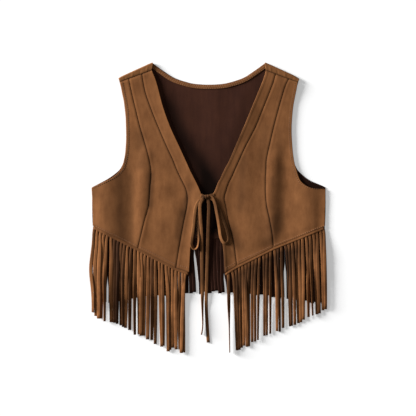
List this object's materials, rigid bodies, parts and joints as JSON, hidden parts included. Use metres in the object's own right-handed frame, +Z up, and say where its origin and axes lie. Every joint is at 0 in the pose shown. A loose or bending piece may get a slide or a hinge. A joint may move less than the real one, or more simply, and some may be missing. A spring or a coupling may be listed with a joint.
{
  "type": "western vest",
  "caption": "Cropped sleeveless suede vest laid flat, with a V neck, panelled fronts, a flat lace tied in a bow at the front and long fringe on its hems.",
  "frame": {"origin": "on the surface that the vest lies on, under its back panel, at the middle of its width and length", "axes": "+X to the wearer's left, +Y from the hem to the collar, +Z up from the surface through the fronts"},
  "size_m": [0.4553, 0.5592, 0.013],
  "materials": {
    "suede": "tan brown suede cloth, matt, brushed nap",
    "suede_fringe": "tan brown suede cloth, cut in strands",
    "suede_reverse": "dark brown reverse of the suede cloth, matt",
    "suede_lace": "flat suede lace, matt"
  },
  "bodies": {
    "root": {"back_panel": "suede_reverse", "back_neck_facing": "suede", "front_band_right": "suede", "centre_front_right": "suede", "side_front_right": "suede", "front_band_left": "suede", "centre_front_left": "suede", "side_front_left": "suede", "fringe_right": "suede_fringe", "fringe_left": "suede_fringe", "fringe_back": "suede_reverse", "tie_knot": "suede_lace", "tie_loop_right": "suede_lace", "tie_loop_left": "suede_lace", "tie_end_right": "suede_lace", "tie_end_left": "suede_lace"}
  },
  "joints": []
}
